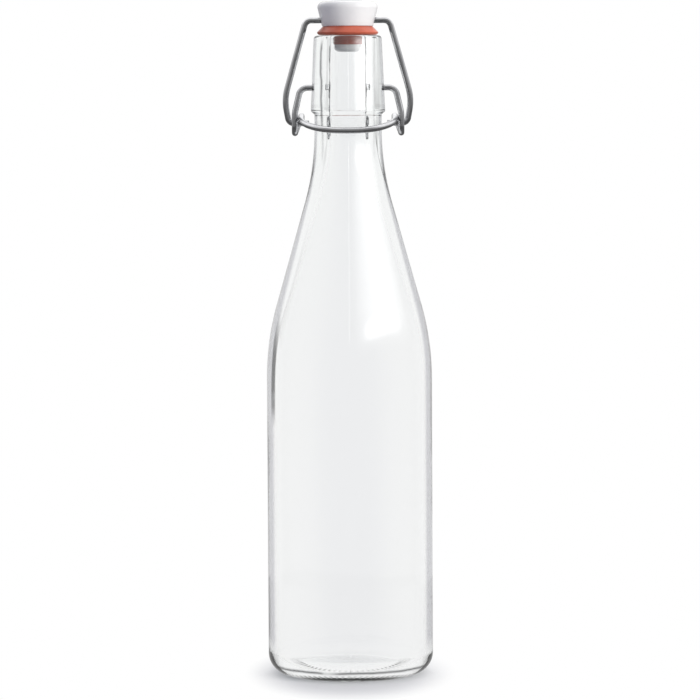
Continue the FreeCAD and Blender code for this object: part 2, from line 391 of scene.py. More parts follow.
def colour(red: float, green: float, blue: float) -> tuple[float, float, float, float]:
    """Write an opaque colour in linear light."""
    return (red, green, blue, 1.0)


@dataclass(frozen=True)
class Finish:
    """A procedural material. Its sizes are in metres."""

    name: str

    def make(self) -> bpy.types.Material:
        """Build the material.

        Returns:
            The material.
        """
        material = bpy.data.materials.new(self.name)
        bench = NodeBench(material)
        inputs = {"Surface": self._surface(bench)}
        inside = self._inside(bench)
        if inside is not None:
            inputs["Volume"] = inside
        bench.node("ShaderNodeOutputMaterial", None, inputs)
        return material

    def _surface(self, bench: NodeBench) -> bpy.types.NodeSocket:
        """Make the shader of the surface.

        Args:
            bench: The material's nodes.

        Returns:
            The shader.
        """
        raise NotImplementedError

    def _inside(self, bench: NodeBench) -> Optional[bpy.types.NodeSocket]:
        """Make the shader of the inside.

        Args:
            bench: The material's nodes.

        Returns:
            The shader, or nothing for an opaque piece.
        """
        return None


@dataclass(frozen=True)
class ClearGlass(Finish):
    """Clear container glass: colourless, with a faint cool cast in thick places.

    Its colour carries painted shade: a little darker head-on than just off it, much darker at a
    slant, and in uneven dark lines, one up each side of the front of the collar and neck and one
    round the heel.
    """

    name: str = "clear_glass"
    refraction: float = 1.5
    # The glass's faint grey, facing_tint, lightens to side_tint just off head-on, so the head-on
    # middle carries a little painted shade.
    facing_tint: tuple = colour(0.938, 0.94, 0.946)
    side_tint: tuple = colour(0.966, 0.967, 0.968)
    side_start: float = 0.15
    # Painted shade: the outer wall is tinted dark grey where it is seen at a slant, above the heel.
    painted_grazing_shade: tuple = colour(0.42, 0.415, 0.45)
    edge_start: float = 0.56
    edge_full: float = 0.67
    cast: tuple = colour(0.78, 0.9, 0.86)
    cast_density: float = 6.0
    light_let_through: tuple = colour(0.74, 0.745, 0.745)
    seam_half_width: float = 0.00035
    seam_height: float = 0.00006
    ripple_scale: float = 55.0
    ripple_height: float = 0.00005
    bore_radius: float = 0.0095
    bore_edge: float = 0.001
    bore_low: float = 0.215
    bore_fade: float = 0.01
    streaks_round: float = 3.0
    streaks_along: float = 70.0
    streak_height: float = 0.00016
    bore_line: float = 0.0109
    bore_line_half_width: float = 0.0009
    bore_line_wander: float = 0.0022
    bore_line_scale: float = 62.0
    bore_line_gaps: tuple[float, float] = (0.32, 0.56)
    bore_line_on_right: float = 0.4
    # Painted shade: dark lines up the front of the collar and neck, standing in for the edge of the
    # bore seen through the glass.
    painted_bore_shade: tuple = colour(0.07, 0.07, 0.075)
    middle_fade: float = 0.004
    heel_low: float = 0.007
    heel_top: float = 0.018
    heel_line: float = 0.0044
    heel_line_radius: float = 0.033
    heel_line_fade: float = 0.002
    heel_line_half_width: float = 0.0012
    heel_line_wander: float = 0.0012
    heel_line_scale: float = 70.0
    heel_line_gaps: tuple[float, float] = (0.2, 0.42)
    # Painted shade: a dark line round the outside of the heel, standing in for the dark where the
    # bottle meets the floor.
    painted_heel_shade: tuple = colour(0.03, 0.03, 0.033)

    def _surface(self, bench: NodeBench) -> bpy.types.NodeSocket:
        """Make the glass, which lets lamp light straight through.

        Args:
            bench: The material's nodes.

        Returns:
            The shader.
        """
        place = bench.place()
        glass = bench.principled(
            {
                "Base Color": self._glass_colour_and_painted_shade(bench, place),
                "Roughness": 0.0,
                "IOR": self.refraction,
                "Transmission Weight": 1.0,
                "Normal": bench.bump(self._relief(bench, place), self.seam_height),
            }
        )
        rays = bench.node("ShaderNodeLightPath")
        passing = bench.value(rays, "Is Shadow Ray").at_least(bench.value(rays, "Is Diffuse Ray"))
        clear = bench.node("ShaderNodeBsdfTransparent", None, {"Color": self.light_let_through})
        return bench.mix(passing, glass, clear.outputs[0])

    def _inside(self, bench: NodeBench) -> bpy.types.NodeSocket:
        """Make the cast of thick glass."""
        inputs = {"Color": self.cast, "Density": self.cast_density}
        return bench.node("ShaderNodeVolumeAbsorption", None, inputs).outputs[0]

    def _glass_colour_and_painted_shade(self, bench: NodeBench, place: bpy.types.NodeSocket) -> bpy.types.NodeSocket:
        """Colour the glass, with painted shade by slant and along its dark lines.

        Args:
            bench: The material's nodes.
            place: The coordinates.

        Returns:
            The colour.
        """
        _, _, height = bench.axes(place)
        edge = bench.value(bench.node("ShaderNodeLayerWeight", None, {"Blend": 0.5}), "Facing")
        outside = 1.0 - bench.attribute(TurnedShape.INNER)
        # rim is the share of painted shade at a slant, on the outer wall above the heel.
        rim = edge.rise(self.edge_start, self.edge_full)
        rim = rim * height.rise(self.heel_low, self.heel_top)
        tint = bench.blend(edge.rise(0.0, self.side_start), self.facing_tint, self.side_tint)
        tint = bench.blend(rim * outside, tint, self.painted_grazing_shade)
        # Painted dark shade lines up the front of the collar and neck.
        tint = bench.blend(self._painted_bore_shade_share(bench, place) * outside, tint, self.painted_bore_shade)
        # Painted dark shade line round the heel.
        return bench.blend(self._painted_heel_shade_share(bench, place), tint, self.painted_heel_shade)

    def _painted_bore_shade_share(self, bench: NodeBench, place: bpy.types.NodeSocket) -> Value:
        """Give the share of the painted dark shade lines up the front of the collar and neck, weaker
        on the right.

        Args:
            bench: The material's nodes.
            place: The coordinates.

        Returns:
            The share.
        """
        across, along, height = bench.axes(place)
        uneven = bench.grain(place, self.bore_line_scale, detail=2.0)
        off = across.absolute() - self.bore_line - (uneven - 0.5) * self.bore_line_wander
        line = off.absolute().rise(self.bore_line_half_width, 0.0)
        line = line * uneven.rise(*self.bore_line_gaps)
        on_left = across.rise(self.middle_fade, -self.middle_fade)
        line = line * (self.bore_line_on_right + on_left * (1.0 - self.bore_line_on_right))
        line = line * height.rise(self.bore_low, self.bore_low + self.bore_fade)
        return line * along.rise(0.0, -self.middle_fade)

    def _painted_heel_shade_share(self, bench: NodeBench, place: bpy.types.NodeSocket) -> Value:
        """Give the share of the painted dark shade line round the outside of the heel.

        Args:
            bench: The material's nodes.
            place: The coordinates.

        Returns:
            The share.
        """
        _, _, height = bench.axes(place)
        uneven = bench.grain(place, self.heel_line_scale, detail=2.0)
        off = height - self.heel_line - (uneven - 0.5) * self.heel_line_wander
        line = off.absolute().rise(self.heel_line_half_width, 0.0)
        line = line * uneven.rise(*self.heel_line_gaps)
        inner_end = self.heel_line_radius - self.heel_line_fade
        line = line * bench.from_axis(place).rise(inner_end, self.heel_line_radius)
        leaving = bench.value(bench.node("ShaderNodeNewGeometry"), "Backfacing")
        return line * (1.0 - leaving)

    def _relief(self, bench: NodeBench, place: bpy.types.NodeSocket) -> Value:
        """Raise the mould seam, the ripples, and the streaks in the bore.

        Args:
            bench: The material's nodes.
            place: The coordinates.

        Returns:
            The height, in units of the seam's.
        """
        across, along, height = bench.axes(place)
        radius = bench.from_axis(place)
        seam = across.absolute().rise(self.seam_half_width, 0.0)
        ripple = bench.grain(place, self.ripple_scale, detail=1.0)
        in_bore = radius.rise(self.bore_radius, self.bore_radius - self.bore_edge)
        in_bore = in_bore * height.rise(self.bore_low, self.bore_low + self.bore_fade)
        streak_place = bench.vector(
            across / radius * self.streaks_round,
            along / radius * self.streaks_round,
            height * self.streaks_along,
        )
        streaks = bench.grain(streak_place, 1.0, detail=2.0) * in_bore
        return (
            seam
            + ripple * (self.ripple_height / self.seam_height)
            + streaks * (self.streak_height / self.seam_height)
        )


@dataclass(frozen=True)
class WhiteGlaze(Finish):
    """Glazed white body of the stopper, with faint unevenness under a clear gloss."""

    name: str = "white_glaze"
    pale: tuple = colour(0.87, 0.865, 0.855)
    shade: tuple = colour(0.83, 0.825, 0.82)
    cloud_scale: float = 120.0
    cloud_range: tuple[float, float] = (0.35, 0.7)
    roughness: float = 0.2
    roughness_spread: float = 0.1
    gloss: float = 0.25
    coat: float = 0.4
    wave_scale: float = 240.0
    wave_height: float = 0.00006

    def _surface(self, bench: NodeBench) -> bpy.types.NodeSocket:
        """Make the glaze.

        Args:
            bench: The material's nodes.

        Returns:
            The shader.
        """
        place = bench.place()
        cloud = bench.grain(place, self.cloud_scale)
        wave = bench.grain(place, self.wave_scale, detail=2.0)
        return bench.principled(
            {
                "Base Color": bench.blend(cloud.rise(*self.cloud_range), self.pale, self.shade),
                "Roughness": self.roughness + (cloud - 0.5) * self.roughness_spread,
                "Specular IOR Level": self.gloss,
                "Coat Weight": self.coat,
                "Coat Roughness": 0.0,
                "Normal": bench.bump(wave, self.wave_height),
            }
        )


@dataclass(frozen=True)
class OrangeRubber(Finish):
    """Moulded orange-red rubber with a satin skin, and painted shade that darkens the sleeve inside
    the mouth.
    """

    name: str = "orange_rubber"
    bright: tuple = colour(0.66, 0.155, 0.09)
    deep: tuple = colour(0.5, 0.1, 0.053)
    # Painted shade: the sleeve below the seat is coloured darker, as if little light reaches it
    # inside the mouth.
    painted_sleeve_shade: tuple = colour(0.33, 0.062, 0.034)
    sleeve_top: float = 0.2708
    sleeve_fade: float = 0.0006
    cloud_scale: float = 160.0
    cloud_range: tuple[float, float] = (0.3, 0.75)
    skin_scale: float = 1500.0
    skin_height: float = 0.00004
    roughness: float = 0.36
    roughness_spread: float = 0.16
    gloss: float = 0.45

    def _surface(self, bench: NodeBench) -> bpy.types.NodeSocket:
        """Make the rubber.

        Args:
            bench: The material's nodes.

        Returns:
            The shader.
        """
        place = bench.place()
        cloud = bench.grain(place, self.cloud_scale, detail=4.0)
        skin = bench.grain(place, self.skin_scale, detail=2.0)
        _, _, height = bench.axes(place)
        shade = bench.blend(cloud.rise(*self.cloud_range), self.bright, self.deep)
        # The share of painted shade, full on the sleeve below the seat.
        sleeve_shade_share = height.rise(self.sleeve_top, self.sleeve_top - self.sleeve_fade)
        return bench.principled(
            {
                "Base Color": bench.blend(sleeve_shade_share, shade, self.painted_sleeve_shade),
                "Roughness": self.roughness + (skin - 0.5) * self.roughness_spread,
                "Specular IOR Level": self.gloss,
                "Normal": bench.bump(skin, self.skin_height),
            }
        )


@dataclass(frozen=True)
class DrawnSteel(Finish):
    """Bright drawn wire, with fine die marks along it and a few dull patches."""

    name: str = "drawn_steel"
    bright: tuple = colour(0.62, 0.62, 0.635)
    dull: tuple = colour(0.44, 0.445, 0.46)
    marks_round: float = 9.0
    marks_along: float = 0.12
    mark_height: float = 0.00001
    mark_share: float = 0.6
    patch_scale: float = 110.0
    wear_range: tuple[float, float] = (0.38, 0.66)
    roughness: float = 0.24
    roughness_spread: float = 0.2

    def _surface(self, bench: NodeBench) -> bpy.types.NodeSocket:
        """Make the steel.

        Args:
            bench: The material's nodes.

        Returns:
            The shader.
        """
        round_wire = bench.attribute(BentWire.ROUND)
        along_wire = bench.attribute(BentWire.ALONG)
        lines = bench.vector(
            round_wire.cosine() * self.marks_round,
            round_wire.sine() * self.marks_round,
            along_wire * self.marks_along,
        )
        marks = bench.grain(lines, 1.0, detail=4.0)
        patches = bench.grain(bench.place(), self.patch_scale)
        wear = marks * self.mark_share + patches * (1.0 - self.mark_share)
        wear = wear.rise(*self.wear_range)
        return bench.principled(
            {
                "Base Color": bench.blend(wear, self.bright, self.dull),
                "Metallic": 1.0,
                "Roughness": self.roughness + (wear - 0.5) * self.roughness_spread,
                "Normal": bench.bump(marks, self.mark_height),
            }
        )


@dataclass(frozen=True)
class PaleFloor(Finish):
    """White floor that keeps the bottle's soft shadow and runs out into the white background."""

    name: str = "pale_floor"
    white: tuple = colour(0.8, 0.8, 0.8)
    seen_in_metal: float = 0.15
    seen_in_glass: float = 0.65
    front_in_glass: float = 0.32
    front_to_back: tuple[float, float] = (-0.3, 0.3)
    seen_through_glass: float = 0.98
    shadow_half_width: float = 0.046
    shadow_half_depth: float = 0.082
    shadow_end: tuple[float, float] = (0.3, 1.0)

    def _surface(self, bench: NodeBench) -> bpy.types.NodeSocket:
        """Make the floor: paper near the bottle, white beyond, and dimmer in reflections.

        Args:
            bench: The material's nodes.

        Returns:
            The shader.
        """
        across, along, _ = bench.axes(bench.place())
        aside = across / self.shadow_half_width
        ahead = along / self.shadow_half_depth
        far = (aside * aside + ahead * ahead).rise(*self.shadow_end)
        rays = bench.node("ShaderNodeLightPath")
        camera_ray = bench.value(rays, "Is Camera Ray")
        through = bench.value(rays, "Is Transmission Ray")
        paper = bench.node("ShaderNodeBsdfDiffuse", None, {"Color": self.white}).outputs[0]
        white = bench.glow(camera_ray + through * self.seen_through_glass)
        shown = bench.mix((far * camera_ray).at_least(through), paper, white)
        mirrored_ray = bench.value(rays, "Is Reflection Ray") * bench.value(rays, "Is Glossy Ray")
        behind = along.rise(*self.front_to_back) * (self.seen_in_glass - self.front_in_glass)
        in_glass = behind + self.front_in_glass
        more = bench.value(rays, "Is Singular Ray") * (in_glass - self.seen_in_metal)
        return bench.mix(mirrored_ray, shown, bench.glow(more + self.seen_in_metal))


@dataclass(frozen=True)
class Surroundings:
    """The room: white to the eye and behind the glass, and darker in reflections and as light.

    Heights are in degrees above level. Spreads are cosines of the bearing from the room's back wall,
    1 towards it and -1 away from it.
    """

    ambient_low: float = 0.11
    ambient_high: float = 0.5
    ambient_heights: tuple[float, float] = (-20.0, 25.0)
    backdrop_light: float = 0.45
    backdrop_spread: tuple[float, float] = (0.0, 0.8)
    cool_share: float = 0.055
    mirror_low: float = 0.15
    mirror_level: float = 0.52
    mirror_heights: tuple[float, float] = (-10.0, 4.0)
    mirror_front: float = 0.7
    front_spread: tuple[float, float] = (0.0, -0.7)
    mirror_high: float = 1.5
    back_ceiling: tuple[float, float] = (6.0, 28.0)
    front_ceiling: tuple[float, float] = (42.0, 72.0)
    room_in_glass: float = 0.25
    backdrop_in_glass: float = 0.75
    glass_spread: tuple[float, float] = (0.1, 0.7)

    def make(self) -> bpy.types.World:
        """Build the world.

        Returns:
            The world.
        """
        world = bpy.data.worlds.new("studio")
        bench = NodeBench(world)
        toward = bench.node("ShaderNodeTexCoord").outputs["Generated"]
        across, along, up = bench.axes(toward)
        ahead = across.angle_from(along).cosine()
        level = up.arcsine() * math.degrees(1.0)
        rays = bench.node("ShaderNodeLightPath")
        camera_ray = bench.value(rays, "Is Camera Ray")
        mirrored_ray = bench.value(rays, "Is Reflection Ray") * bench.value(rays, "Is Glossy Ray")
        overhead = level.rise(*self.ambient_heights) * (self.ambient_high - self.ambient_low)
        ambient = self.ambient_low + overhead
        ambient = ambient + ahead.rise(*self.backdrop_spread) * self.backdrop_light
        sharp_ray = mirrored_ray * bench.value(rays, "Is Singular Ray")
        in_metal = self._room(ahead, level)
        in_glass = ahead.rise(*self.glass_spread) * (self.backdrop_in_glass - self.room_in_glass)
        in_glass = in_glass + self.room_in_glass
        shown = ambient + mirrored_ray * (in_metal - ambient) + sharp_ray * (in_glass - in_metal)
        seen = camera_ray.at_least(bench.value(rays, "Is Transmission Ray"))
        shown = shown + seen * (1.0 - shown)
        cool = shown + bench.value(rays, "Is Diffuse Ray") * self.cool_share
        backdrop = bench.node(
            "ShaderNodeBackground", None, {"Color": bench.vector(shown, shown, cool)}
        )
        bench.node("ShaderNodeOutputWorld", None, {"Surface": backdrop.outputs[0]})
        return world

    def _room(self, ahead: Value, level: Value) -> Value:
        """Give the light that metal, glaze and rubber reflect.

        Args:
            ahead: The cosine of the ray's bearing from the back wall.
            level: The ray's height above level.

        Returns:
            The light's strength.
        """
        front = ahead.rise(*self.front_spread)
        lift = level.rise(*self.mirror_heights) * (self.mirror_level - self.mirror_low)
        dim = self.mirror_low + lift
        dim = dim * (1.0 - front * (1.0 - self.mirror_front))
        bright = level.rise(*self.back_ceiling) * (1.0 - front)
        bright = bright + level.rise(*self.front_ceiling) * front
        return dim + bright * (self.mirror_high - self.mirror_level)


def add_object(
    name: str, mesh_name: str, mesh: BMesh, material: bpy.types.Material
) -> bpy.types.Object:
    """Put a finished mesh into the scene.

    Args:
        name: The object's name.
        mesh_name: The first word of its mesh's name.
        mesh: The mesh, which is used up.
        material: Its material.

    Returns:
        The object.
    """
    data = bpy.data.meshes.new(mesh_name + "_mesh")
    mesh.to_mesh(data)
    mesh.free()
    data.materials.append(material)
    made = bpy.data.objects.new(name, data)
    bpy.context.scene.collection.objects.link(made)
    return made


@dataclass(frozen=True)
class StudioCard:
    """A soft-edged card that stands round the bottle and shows only in its glass.

    A grey card darkens a stretch of the glass edge, by rays that turn inside the wall and not by
    those that pass straight through. A bright one leaves its mirror image on the glass. Sizes are in
    metres, and the bearing is in degrees to the right of the room's back wall.
    """

    name: str
    sight: Sight
    bearing: float
    low: float
    high: float
    strength: float
    distance: float = 0.5
    low_edge: float = 0.016
    high_edge: float = 0.08
    half_width: float = 0.09
    side_edge: float = 0.05

    def build(self) -> None:
        """Stand the card up."""
        mesh = bmesh.new()
        bmesh.ops.create_grid(mesh, x_segments=1, y_segments=1, size=0.5)
        lift = Matrix.Translation((0.0, self.distance, (self.high + self.low) / 2))
        stretch = Matrix.Diagonal((2 * self.half_width, 1.0, self.high - self.low, 1.0))
        upright = Matrix.Rotation(math.radians(90.0), 4, "X")
        bmesh.ops.transform(mesh, matrix=lift @ stretch @ upright, verts=mesh.verts[:])
        card = add_object(self.name, self.name, mesh, self._finish())
        card.rotation_euler = (0.0, 0.0, -math.radians(self.bearing))
        card.visible_camera = False
        card.visible_diffuse = False
        card.visible_shadow = False
        card.visible_glossy = self.sight is Sight.MIRRORED
        card.visible_transmission = self.sight is Sight.THROUGH

    def _finish(self) -> bpy.types.Material:
        """Make the card's material, which is clear at the edges.

        Returns:
            The material.
        """
        material = bpy.data.materials.new(self.name)
        bench = NodeBench(material)
        across, _, height = bench.axes(bench.place())
        sides = across.absolute().rise(self.half_width, self.half_width - self.side_edge)
        lower = height.rise(self.low, self.low + self.low_edge)
        upper = height.rise(self.high, self.high - self.high_edge)
        rays = bench.node("ShaderNodeLightPath")
        bounces = bench.value(rays, "Ray Depth")
        few_bounces = bounces.rise(self.sight.value + 0.6, self.sight.value + 0.4)
        share = sides * lower * upper * few_bounces
        if self.sight is Sight.MIRRORED:
            share = share * bench.value(rays, "Is Singular Ray")
        clear = bench.node("ShaderNodeBsdfTransparent").outputs[0]
        surface = bench.mix(share, clear, bench.glow(self.strength))
        bench.node("ShaderNodeOutputMaterial", None, {"Surface": surface})
        return material


class TurnedShape:
    """A half section in the XZ plane, drawn stretch by stretch and turned about the axis."""

    INNER = "inner_wall"

    def __init__(self, x: float, z: float) -> None:
        """Begin the section.

        Args:
            x: The first point's distance from the axis.
            z: Its height.
        """
        self.mesh = bmesh.new()
        self.inner = self.mesh.verts.layers.float.new(self.INNER)
        self.tip = self.mesh.verts.new((x, 0.0, z))
        self.drawing_inside = False

    def line(self, x: float, z: float, steps: int = 1) -> None:
        """Run straight to a point.

        Args:
            x: The point's distance from the axis.
            z: Its height.
            steps: How many edges the run has.
        """
        stride = (Vector((x, 0.0, z)) - self.tip.co) / steps
        for _ in range(steps):
            grown = bmesh.ops.extrude_vert_indiv(self.mesh, verts=[self.tip])["verts"]
            bmesh.ops.translate(self.mesh, verts=grown, vec=stride)
            self.tip = grown[0]
            self._mark([self.tip])

    def arc(self, x: float, z: float, radius: float, side: Side, steps: int) -> None:
        """Run round to a point.

        Args:
            x: The point's distance from the axis.
            z: Its height.
            radius: The arc's radius.
            side: The side that its centre lies on.
            steps: How many edges the arc has.
        """
        chord = Vector((x, 0.0, z)) - self.tip.co
        half = min(chord.length / 2, radius)
        left = Vector((-chord.z, 0.0, chord.x)).normalized()
        centre = self.tip.co + chord / 2 + left * (side.value * math.sqrt(radius**2 - half**2))
        known = set(self.mesh.verts)
        turned = bmesh.ops.spin(
            self.mesh,
            geom=[self.tip],
            cent=centre,
            axis=(0.0, -side.value, 0.0),
            dvec=NO_SHIFT,
            angle=2 * math.asin(half / radius),
            steps=steps,
        )
        self.tip = next(item for item in turned["geom_last"] if isinstance(item, BMVert))
        self._mark([vert for vert in self.mesh.verts if vert not in known])

    def _mark(self, verts: list[BMVert]) -> None:
        """Note which wall new points belong to."""
        for vert in verts:
            vert[self.inner] = 1.0 if self.drawing_inside else 0.0

    def turn(self, segments: int) -> BMesh:
        """Turn the section a full turn.

        Args:
            segments: How many steps the turn has.

        Returns:
            The closed mesh, still in millimetres.
        """
        bmesh.ops.spin(
            self.mesh,
            geom=self.mesh.verts[:] + self.mesh.edges[:],
            cent=NO_SHIFT,
            axis=UPRIGHT,
            dvec=NO_SHIFT,
            angle=math.tau,
            steps=segments,
            use_merge=True,
        )
        bmesh.ops.remove_doubles(self.mesh, verts=self.mesh.verts[:], dist=CLOSE_VERTICES)
        bmesh.ops.recalc_face_normals(self.mesh, faces=self.mesh.faces[:])
        return self.mesh


def ring_edges(mesh: BMesh, radius: float, height: float) -> list[BMEdge]:
    """Find the level ring of edges at a corner of a turned shape.

    Args:
        mesh: The turned mesh.
        radius: The ring's radius.
        height: The ring's height.

    Returns:
        Its edges.
    """
    near = 0.02

    def on_ring(vert: BMVert) -> bool:
        """Tell whether a vertex is on the ring."""
        return abs(vert.co.z - height) < near and abs(vert.co.xy.length - radius) < near

    return [edge for edge in mesh.edges if all(on_ring(vert) for vert in edge.verts)]


def soften(mesh: BMesh, edges: list[BMEdge], width: float, segments: int) -> None:
    """Round some edges.

    Args:
        mesh: The mesh.
        edges: The edges.
        width: How far the round reaches from the edge.
        segments: How many faces go round it.
    """
    bmesh.ops.bevel(
        mesh,
        geom=edges,
        offset=width,
        offset_type="OFFSET",
        affect="EDGES",
        segments=segments,
        profile=0.5,
        material=-1,
    )


def soften_corners(mesh: BMesh, corners: tuple[tuple[float, float], ...], width: float) -> None:
    """Round the corners of a turned shape.

    Args:
        mesh: The turned mesh.
        corners: The radius and height of each corner.
        width: How far the round reaches from the corner.
    """
    edges = [edge for radius, height in corners for edge in ring_edges(mesh, radius, height)]
    soften(mesh, edges, width, segments=4)


def open_side_hole(mesh: BMesh, side: int, height: float, radius: float) -> list[BMEdge]:
    """Open a round hole, along X, in the wall of a turned shape.

    Args:
        mesh: The turned mesh.
        side: 1 for the right and -1 for the left.
        height: The hole's height.
        radius: The hole's radius.

    Returns:
        The edges round the hole.
    """
    facing_side = 0.7

    def from_middle(point: Vector) -> float:
        """Give a point's distance from the hole's axis."""
        return math.hypot(point.y, point.z - height)

    def on_wall(face: bmesh.types.BMFace) -> bool:
        """Tell whether a face is on the wall that the hole opens in."""
        return face.normal.x * side > facing_side and face.calc_center_median().x * side > 0

    struck = [
        face
        for face in mesh.faces
        if on_wall(face) and any(from_middle(vert.co) < radius for vert in face.verts)
    ]
    bmesh.ops.delete(mesh, geom=struck, context="FACES")
    rim = [edge for edge in mesh.edges if edge.is_boundary]
    for vert in {vert for edge in rim for vert in edge.verts}:
        reach = from_middle(vert.co)
        wall = vert.co.xy.length
        vert.co.y *= radius / reach
        vert.co.z = height + (vert.co.z - height) * radius / reach
        vert.co.x = side * math.sqrt(wall**2 - vert.co.y**2)
    return rim


class BentWire:
    """A round wire that grows from one end: straight runs are extruded and bends are spun."""

    ALONG = "along_wire"
    ROUND = "round_wire"

    def __init__(self, diameter: float, sides: int = 28, step_degrees: float = 5.0) -> None:
        """Prepare a wire of no length.

        Args:
            diameter: The wire's diameter.
            sides: How many faces go round it.
            step_degrees: The longest turn of one step of a bend.
        """
        self.radius = diameter / 2
        self.sides = sides
        self.step = math.radians(step_degrees)
        self.mesh = bmesh.new()
        self.along = self.mesh.verts.layers.float.new(self.ALONG)
        self.round = self.mesh.verts.layers.float.new(self.ROUND)
        self.ring: list[BMEdge] = []
        self.place = NO_SHIFT.copy()
        self.grown = 0.0

    def start(self, point: Vector, heading: Vector) -> None:
        """Set the first end.

        Args:
            point: The middle of the end.
            heading: The way that the wire runs.
        """
        turn = UPRIGHT.rotation_difference(heading).to_matrix().to_4x4()
        circle = bmesh.ops.create_circle(
            self.mesh,
            cap_ends=False,
            radius=self.radius,
            segments=self.sides,
            matrix=Matrix.Translation(point) @ turn,
        )
        for index, vert in enumerate(circle["verts"]):
            vert[self.round] = math.tau * index / self.sides
        self.ring = list(self.mesh.edges)
        self.place = point.copy()

    def straight(self, point: Vector) -> None:
        """Run straight to a point.

        Args:
            point: The middle of the wire there.
        """
        shift = point - self.place
        grown = bmesh.ops.extrude_edge_only(self.mesh, edges=self.ring)["geom"]
        verts = [item for item in grown if isinstance(item, BMVert)]
        bmesh.ops.translate(self.mesh, verts=verts, vec=shift)
        self._take(grown, shift.length)
        self.place = point.copy()

    def bend(self, centre: Vector, axis: Vector, angle: float, radius: float) -> None:
        """Bend round a centre.

        Args:
            centre: The bend's centre.
            axis: The line that it turns about.
            angle: How far it turns, in radians.
            radius: The bend's radius, at the middle of the wire.
        """
        steps = max(2, math.ceil(angle / self.step))
        for _ in range(steps):
            turned = bmesh.ops.spin(
                self.mesh,
                geom=self.ring,
                cent=centre,
                axis=axis,
                dvec=NO_SHIFT,
                angle=angle / steps,
                steps=1,
            )
            self._take(turned["geom_last"], radius * angle / steps)
        turn = Matrix.Rotation(angle, 3, axis)
        self.place = centre + turn @ (self.place - centre)

    def _take(self, grown: list, length: float) -> None:
        """Go on from newly grown geometry, and note how far along the wire it is.

        Args:
            grown: The geometry.
            length: How much longer the wire has become.
        """
        self.ring = [item for item in grown if isinstance(item, BMEdge)]
        self.grown += length
        for vert in {vert for edge in self.ring for vert in edge.verts}:
            vert[self.along] = self.grown

    def follow(self, bends: list[tuple[Vector, float]]) -> None:
        """Grow along corner points.

        Args:
            bends: Each corner and the radius of its bend. The first and last are the ends.
        """
        corners = [corner for corner, _ in bends]
        self.start(corners[0], (corners[1] - corners[0]).normalized())
        for before, (corner, radius), after in zip(corners, bends[1:], corners[2:]):
            back = (before - corner).normalized()
            ahead = (after - corner).normalized()
            turn = math.pi - back.angle(ahead)
            reach = radius * math.tan(turn / 2)
            middle = (back + ahead).normalized() * (radius / math.cos(turn / 2))
            self.straight(corner + back * reach)
            self.bend(corner + middle, ahead.cross(back).normalized(), turn, radius)
        self.straight(corners[-1])

    def close(self, chamfer: float) -> BMesh:
        """Cap both ends and break their edges.

        Args:
            chamfer: The width of the broken edge.

        Returns:
            The closed mesh, still in millimetres.
        """
        rims = [edge for edge in self.mesh.edges if edge.is_boundary]
        bmesh.ops.holes_fill(self.mesh, edges=rims, sides=self.sides)
        soften(self.mesh, rims, chamfer, segments=3)
        bmesh.ops.recalc_face_normals(self.mesh, faces=self.mesh.faces[:])
        return self.mesh


def mirrored(half: list[tuple[Vector, float]]) -> list[tuple[Vector, float]]:
    """Complete a wire's bends, given from the right end to the middle, on the left side.

    Args:
        half: The right half's bends.

    Returns:
        The whole wire's bends.
    """
    flip = Matrix.Diagonal((-1.0, 1.0, 1.0))
    return half + [(flip @ corner, radius) for corner, radius in reversed(half)]


def finish_piece(
    name: str,
    mesh: BMesh,
    material: bpy.types.Material,
    body: Body,
    sharp_degrees: float = 38.0,
) -> bpy.types.Object:
    """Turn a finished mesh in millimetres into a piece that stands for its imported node.

    Args:
        name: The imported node's name.
        mesh: The mesh, which is used up.
        material: The piece's finish.
        body: The body that it moves with.
        sharp_degrees: The least angle between faces that shows as an edge.

    Returns:
        The piece.
    """
    bmesh.ops.scale(mesh, verts=mesh.verts[:], vec=(MM, MM, MM))
    mesh.normal_update()
    sharp = math.radians(sharp_degrees)
    for face in mesh.faces:
        face.smooth = True
    for edge in mesh.edges:
        edge.smooth = edge.calc_face_angle(0.0) < sharp
    piece = add_object(name + "_piece", name, mesh, material)
    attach(piece, body.value)
    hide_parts(name)
    return piece


